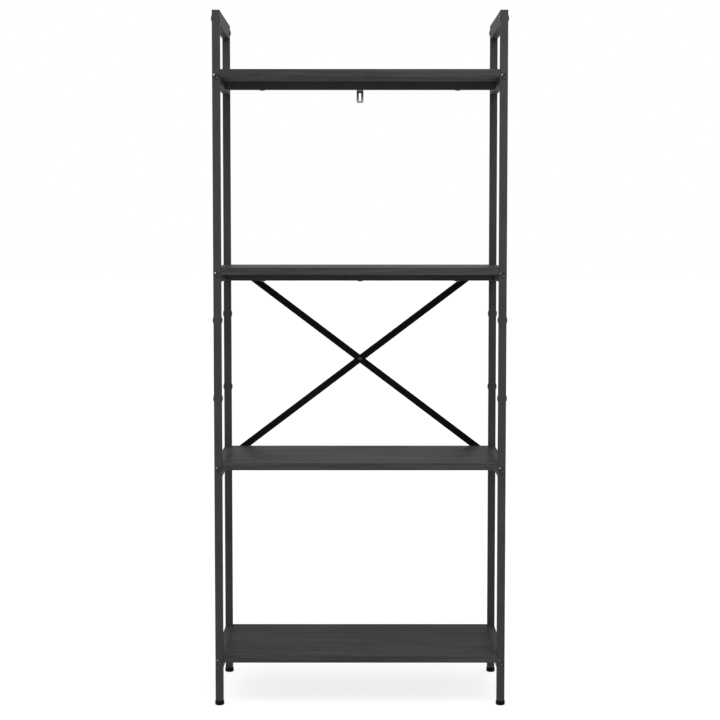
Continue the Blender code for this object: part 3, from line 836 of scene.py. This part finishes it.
def foot_plug(corner):
    """The plug in the post's end: square outside, round inside."""
    node = "foot_insert_" + corner
    low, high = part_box(node)
    centre = tuple(post_axis(corner))
    half = (high.x - low.x) / 2
    outer = rounded_outline(half, half, BORE_CORNER)
    eased = rounded_outline(half - LIP, half - LIP, BORE_CORNER)
    bore = matching_circle(outer, STEM_RADIUS + GAP)
    mouth = matching_circle(outer, STEM_RADIUS + GAP + LIP)
    rings = [
        ring(eased, 2, low.z, centre), ring(outer, 2, low.z + LIP, centre),
        ring(outer, 2, high.z, centre), ring(bore, 2, high.z, centre),
        ring(bore, 2, low.z + LIP, centre), ring(mouth, 2, low.z, centre),
    ]
    loft(node + "_plug", rings, "black_plastic", FRAME_BODY, [node], closed=True)


# ---------------------------------------------------------------- studio

def floor():
    """A plain pale floor that glows a little, like a lit product table, so its shadows stay soft."""
    mesh = bmesh.new()
    bmesh.ops.create_grid(
        mesh, x_segments=FLOOR_CELLS, y_segments=FLOOR_CELLS, size=FLOOR_HALF_SIZE)
    data = bpy.data.meshes.new("studio_floor")
    mesh.to_mesh(data)
    mesh.free()
    paint = new_finish("studio_paint", roughness=0.9, specular=0.1)
    shader = paint.node_tree.nodes["Principled BSDF"]
    shader.inputs["Base Color"].default_value = FLOOR_GREY
    shader.inputs["Emission Color"].default_value = WHITE
    shader.inputs["Emission Strength"].default_value = FLOOR_GLOW
    data.materials.append(paint)
    plane = bpy.data.objects.new("studio_floor", data)
    plane.location.z = -FLOOR_DROP
    bpy.context.scene.collection.objects.link(plane)


def soft_panel(name, size, energy, place, aim):
    """A round soft light that faces a point."""
    panel = bpy.data.lights.new(name, "AREA")
    panel.shape = "DISK"
    panel.size = size
    panel.energy = energy
    lamp = bpy.data.objects.new(name, panel)
    lamp.location = place
    lamp.rotation_euler = (lamp.location - Vector(aim)).to_track_quat("Z", "Y").to_euler()
    bpy.context.scene.collection.objects.link(lamp)
    return lamp


def studio_light():
    """White all round, a key light high on the left, and a weaker panel high in front.

    The front panel is kept out of reflections, and a far panel on the left is seen only in
    reflections, so that every domed bolt head has one small glint at its upper left.
    """
    world = bpy.data.worlds.new("studio")
    bpy.context.scene.world = world
    world.use_nodes = True
    background = world.node_tree.nodes["Background"]
    background.inputs["Color"].default_value = WHITE
    background.inputs["Strength"].default_value = 1.0
    soft_panel("soft_key", *KEY_PANEL)
    front = soft_panel("soft_front", *FRONT_PANEL)
    front.visible_glossy = False
    sparkle = soft_panel("soft_sparkle", *SPARKLE_PANEL)
    sparkle.visible_diffuse = False


def camera():
    lens = bpy.data.cameras.new("camera")
    lens.sensor_width = SENSOR_WIDTH
    lens.lens = LENS
    lens.shift_y = CAMERA_SHIFT
    lens.clip_start = NEAREST
    lens.clip_end = FARTHEST
    view = bpy.data.objects.new("camera", lens)
    view.location = CAMERA_PLACE
    view.rotation_euler = (pi / 2 - CAMERA_TILT, 0.0, 0.0)
    bpy.context.scene.collection.objects.link(view)
    bpy.context.scene.camera = view
    bpy.context.scene.view_settings.view_transform = "Standard"


def bookcase():
    """Every piece, and the finish of the splice tubes that stay as the CAD made them."""
    for corner in CORNERS:
        for level in ("lower", "upper"):
            post_half(corner, level)
            through_bolt("splice_bolt_{}_{}".format(corner, level))
        through_bolt("top_bolt_" + corner)
        rail_bolts(corner)
        foot_pad(corner)
        foot_stem(corner)
        foot_plug(corner)
        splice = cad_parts["post_splice_" + corner]
        splice.data.materials.clear()
        splice.data.materials.append(FINISHES["zinc_plate"])
    side_rails()
    top_rails()
    for number in SHELVES:
        shelf(number)
        beam(number)
    brace()
    rivet()
    wall_bracket()
    bracket_screw()


bookcase()
floor()
studio_light()
camera()
